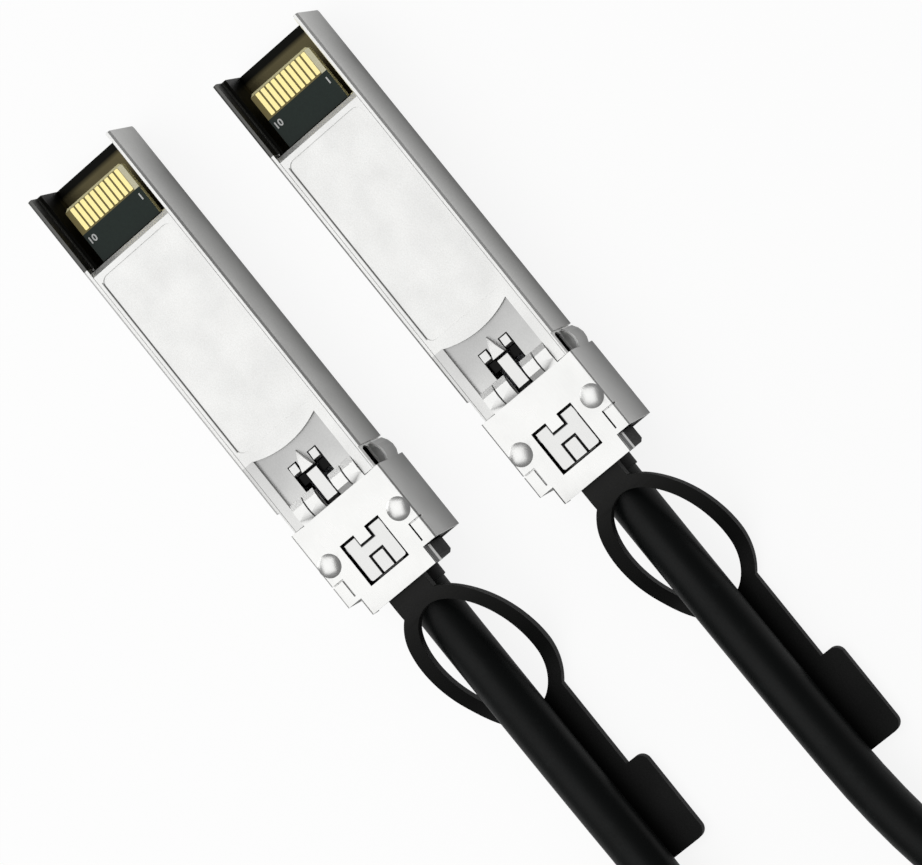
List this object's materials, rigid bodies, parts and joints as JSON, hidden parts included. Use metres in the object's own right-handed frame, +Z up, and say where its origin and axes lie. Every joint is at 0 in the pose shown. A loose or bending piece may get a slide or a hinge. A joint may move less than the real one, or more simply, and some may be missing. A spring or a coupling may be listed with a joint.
{
  "type": "direct attach copper cable",
  "caption": "Screened copper cable with a pluggable metal end at each end, each with a spring-fingered cover, a latch and a pull tab that releases it.",
  "frame": {"origin": "middle of the two ends, on the surface that the cable lies on", "axes": "+X from the ports towards the cable, +Y from the second end to the first, +Z up, out of the latch faces"},
  "size_m": [0.239, 0.0892, 0.0128],
  "materials": {
    "die_cast_metal": "die-cast zinc with satin nickel plating",
    "sheet_steel": "folded sheet steel with satin nickel plating",
    "latch_steel": "stamped steel, satin",
    "card_mask": "glass laminate with dark green solder mask",
    "gold_plating": "gold-plated copper pads",
    "chip_black": "black moulded chip",
    "capacitor_ceramic": "brown ceramic",
    "core_insulation": "pale extruded insulation",
    "crimp_copper": "crimped copper alloy ring",
    "cable_jacket": "black extruded jacket, soft sheen",
    "black_moulding": "black moulded strain relief",
    "tab_moulding": "black moulded elastomer, matt",
    "screw_steel": "plated steel",
    "spring_steel": "spring wire",
    "tie_strap": "black woven strap"
  },
  "bodies": {
    "cable": {"a_housing_base": "die_cast_metal", "a_housing_lid": "die_cast_metal", "a_paddle_card": "card_mask", "a_contact_pads": "gold_plating", "a_card_chip": "chip_black", "a_card_capacitors": "capacitor_ceramic", "a_wire_cores": "core_insulation", "a_crimp_ring": "crimp_copper", "a_cable_end": "cable_jacket", "a_strain_relief": "black_moulding", "a_shell_screws": "screw_steel", "a_emi_cover": "sheet_steel", "a_return_springs": "spring_steel", "b_housing_base": "die_cast_metal", "b_housing_lid": "die_cast_metal", "b_paddle_card": "card_mask", "b_contact_pads": "gold_plating", "b_card_chip": "chip_black", "b_card_capacitors": "capacitor_ceramic", "b_wire_cores": "core_insulation", "b_crimp_ring": "crimp_copper", "b_cable_end": "cable_jacket", "b_strain_relief": "black_moulding", "b_shell_screws": "screw_steel", "b_emi_cover": "sheet_steel", "b_return_springs": "spring_steel", "cable_lead_a": "cable_jacket", "cable_lead_b": "cable_jacket", "cable_coil": "cable_jacket", "coil_ties": "tie_strap"},
    "a_latch": {"a_latch_slider": "latch_steel", "a_pull_tab": "tab_moulding"},
    "b_latch": {"b_latch_slider": "latch_steel", "b_pull_tab": "tab_moulding"}
  },
  "joints": [
    {"name": "a_latch_pull", "type": "slide", "parent": "cable", "child": "a_latch", "axis": [1, 0, 0], "range_m": [0, 0.0022], "stiffness_N_per_m": 400, "springref_m": -0.001, "deforming": ["a_return_springs"]},
    {"name": "b_latch_pull", "type": "slide", "parent": "cable", "child": "b_latch", "axis": [1, 0, 0], "range_m": [0, 0.0022], "stiffness_N_per_m": 400, "springref_m": -0.001, "deforming": ["b_return_springs"]}
  ]
}
